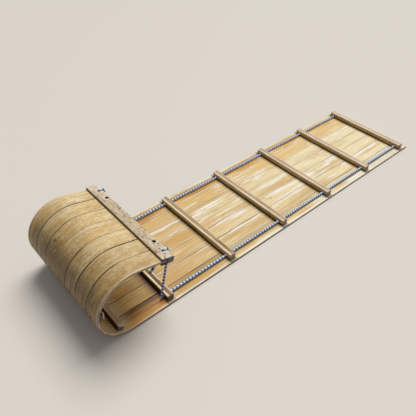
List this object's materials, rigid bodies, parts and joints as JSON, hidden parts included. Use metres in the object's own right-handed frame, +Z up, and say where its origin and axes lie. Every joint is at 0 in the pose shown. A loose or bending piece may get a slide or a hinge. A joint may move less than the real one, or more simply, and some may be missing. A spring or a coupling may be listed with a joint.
{
  "type": "wooden toboggan",
  "caption": "Old flat wooden toboggan: thin lengthwise slats bent up into a round curl, tied by crosspieces, with a grooved head bar and taut braided side ropes.",
  "frame": {"origin": "on the ground, in the middle of the sled's length and width", "axes": "+X forward to the curl, +Y to the sled's left, +Z up"},
  "size_m": [1.8355, 0.461, 0.265],
  "materials": {
    "slat_wood": "worn honey-coloured varnish over ash, bare and pale at the edges",
    "crosspiece_wood": "weathered, checked along the grain",
    "head_bar_wood": "grey weathered, speckled",
    "rope": "blue and white braid"
  },
  "bodies": {
    "root": {"slat_1": "slat_wood", "slat_2": "slat_wood", "slat_3": "slat_wood", "slat_4": "slat_wood", "slat_5": "slat_wood", "slat_6": "slat_wood", "slat_7": "slat_wood", "crosspiece_1": "crosspiece_wood", "crosspiece_2": "crosspiece_wood", "crosspiece_3": "crosspiece_wood", "crosspiece_4": "crosspiece_wood", "crosspiece_5": "crosspiece_wood", "tie_crosspiece": "crosspiece_wood", "toe_bar": "crosspiece_wood", "nose_strip": "crosspiece_wood", "head_bar": "head_bar_wood", "side_rope_left": "rope", "side_rope_right": "rope", "rope_tail_left": "rope", "rope_tail_right": "rope"}
  },
  "joints": []
}
